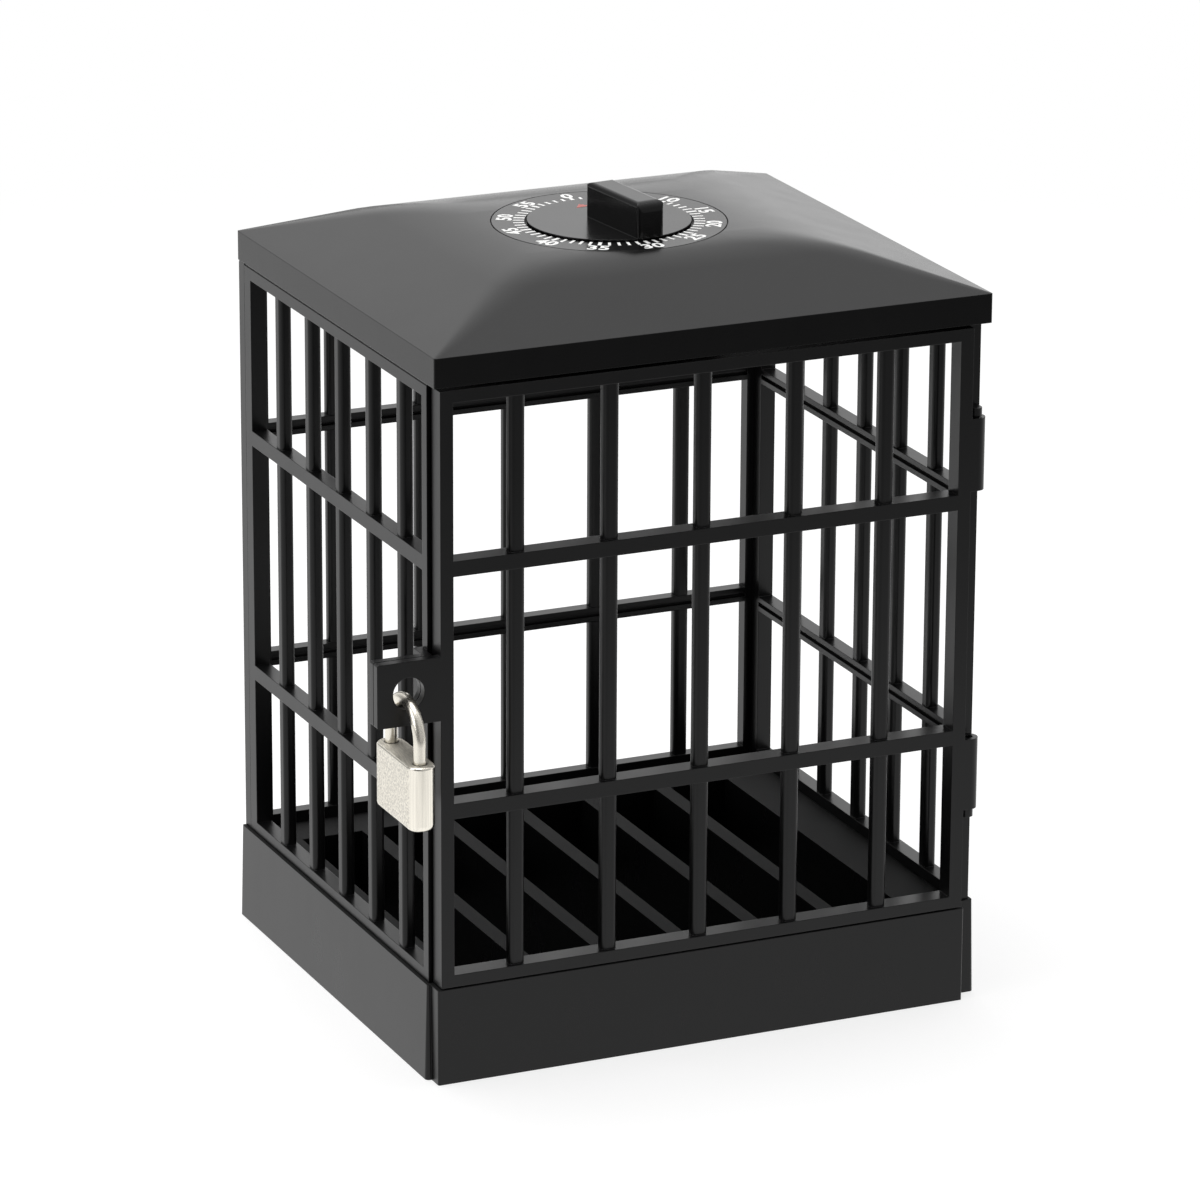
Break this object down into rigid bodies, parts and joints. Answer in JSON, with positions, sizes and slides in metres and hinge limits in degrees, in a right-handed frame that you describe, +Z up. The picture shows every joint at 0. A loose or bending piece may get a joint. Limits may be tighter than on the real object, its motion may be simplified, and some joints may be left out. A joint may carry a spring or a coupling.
{
  "type": "phone jail",
  "caption": "Black plastic phone jail: a barred cage with wells for phones, a hinged barred door, a padlocked hasp and a wind-up timer dial in its roof.",
  "frame": {"origin": "middle of the underside of the base, on the surface that it stands on", "axes": "+Z up, -Y out of the door, +X towards the door's hinge"},
  "size_m": [0.161, 0.1373, 0.2],
  "materials": {
    "base_plastic": "moulded, satin",
    "cage_plastic": "moulded, satin",
    "lid_plastic": "moulded, fine satin",
    "dial_print": "printed with a plain minute scale",
    "knob_plastic": "moulded, satin",
    "lock_nickel": "nickel plated, finely grained",
    "shackle_nickel": "nickel plated, polished",
    "steel": "plain bright steel",
    "brass": "plain brass"
  },
  "bodies": {
    "cage": {"base": "base_plastic", "left_wall": "cage_plastic", "right_wall": "cage_plastic", "back_wall": "cage_plastic", "lid": "lid_plastic", "dial_plate": "dial_print", "timer_case": "cage_plastic", "case_screws": "steel", "bell": "shackle_nickel", "bell_screw": "steel", "movement_base_plate": "brass", "movement_top_plate": "brass", "movement_pillars": "brass", "mainspring": "steel"},
    "door": {"door": "cage_plastic"},
    "timer": {"timer_knob": "knob_plastic", "main_arbor": "steel", "great_wheel": "brass"},
    "second_wheel": {"second_wheel": "brass"},
    "third_wheel": {"third_wheel": "brass"},
    "escape_wheel": {"escape_wheel": "brass"},
    "pallet_lever": {"pallet_lever": "steel"},
    "hammer": {"hammer": "steel"},
    "padlock": {"padlock_body": "lock_nickel", "bolt_spring": "steel"},
    "shackle": {"shackle": "shackle_nickel"},
    "key_plug": {"key_plug": "brass"},
    "lock_bolt": {"lock_bolt": "steel"}
  },
  "joints": [
    {"name": "door_hinge", "type": "hinge", "parent": "cage", "child": "door", "pos_m": [0.0695, -0.061, 0.0985], "axis": [0, 0, 1], "range_deg": [0, 165]},
    {"name": "timer_turn", "type": "hinge", "parent": "cage", "child": "timer", "pos_m": [0, 0, 0.1908], "axis": [0, 0, -1], "range_deg": [0, 352]},
    {"name": "second_wheel_turn", "type": "hinge", "parent": "cage", "child": "second_wheel", "pos_m": [-0.014, 0, 0.179], "axis": [0, 0, -1], "range_deg": [-2112, 0]},
    {"name": "third_wheel_turn", "type": "hinge", "parent": "cage", "child": "third_wheel", "pos_m": [-0.01072, 0.00902, 0.179], "axis": [0, 0, -1], "range_deg": [0, 10560]},
    {"name": "escape_wheel_turn", "type": "hinge", "parent": "cage", "child": "escape_wheel", "pos_m": [-0.00592, 0.01733, 0.179], "axis": [0, 0, -1], "range_deg": [-52800, 0]},
    {"name": "pallet_rock", "type": "hinge", "parent": "cage", "child": "pallet_lever", "pos_m": [-0.00032, 0.01733, 0.179], "axis": [0, 0, 1], "range_deg": [-8, 8]},
    {"name": "hammer_swing", "type": "hinge", "parent": "cage", "child": "hammer", "pos_m": [0.014, -0.01, 0.1718], "axis": [0, 0, 1], "range_deg": [0, 8]},
    {"name": "padlock_swing", "type": "hinge", "parent": "cage", "child": "padlock", "pos_m": [-0.0794, -0.06115, 0.1001], "axis": [0, 1, 0], "range_deg": [-6, 80]},
    {"name": "shackle_slide", "type": "slide", "parent": "padlock", "child": "shackle", "axis": [0, 0, 1], "range_m": [0, 0.0044]},
    {"name": "key_plug_turn", "type": "hinge", "parent": "padlock", "child": "key_plug", "pos_m": [-0.0794, -0.06115, 0.0747], "axis": [0, 0, -1], "range_deg": [0, 90]},
    {"name": "lock_bolt_slide", "type": "slide", "parent": "padlock", "child": "lock_bolt", "axis": [0, -1, 0], "range_m": [0, 0.0009]}
  ],
  "couplings": [
    {"joint": "second_wheel_turn", "follows": "timer_turn", "ratio": -6},
    {"joint": "third_wheel_turn", "follows": "timer_turn", "ratio": 30},
    {"joint": "escape_wheel_turn", "follows": "timer_turn", "ratio": -150},
    {"joint": "key_plug_turn", "follows": "lock_bolt_slide", "rad_per_m": 1745.3}
  ]
}
